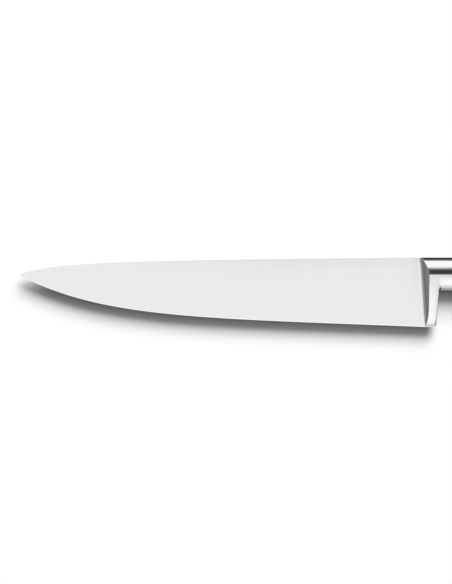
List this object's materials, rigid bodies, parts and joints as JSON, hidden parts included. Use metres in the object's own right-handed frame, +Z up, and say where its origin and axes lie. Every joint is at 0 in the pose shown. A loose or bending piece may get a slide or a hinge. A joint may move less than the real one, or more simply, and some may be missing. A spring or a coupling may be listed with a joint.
{
  "type": "fillet knife",
  "caption": "Forged fillet knife with a satin blade that narrows to a raised point, a polished bolster with a finger guard, and a black riveted full-tang handle.",
  "frame": {"origin": "on the table, under the middle of the knife's outline as it lies on its right side", "axes": "+X from the tip to the butt, +Y from the edge to the spine, +Z up, across the blade"},
  "size_m": [0.304, 0.0318, 0.014],
  "materials": {
    "blade_steel": "stainless steel, finely brushed from spine to edge on the blade and mirror polished on the bolster",
    "black_resin": "black moulded handle resin with a satin sheen",
    "rivet_steel": "stainless steel, ground flush with the handle and polished"
  },
  "bodies": {
    "root": {"forged_blade": "blade_steel", "left_scale": "black_resin", "right_scale": "black_resin", "rivet_1_tube": "rivet_steel", "rivet_1_stud": "rivet_steel", "rivet_2_tube": "rivet_steel", "rivet_2_stud": "rivet_steel", "rivet_3_tube": "rivet_steel", "rivet_3_stud": "rivet_steel"}
  },
  "joints": []
}
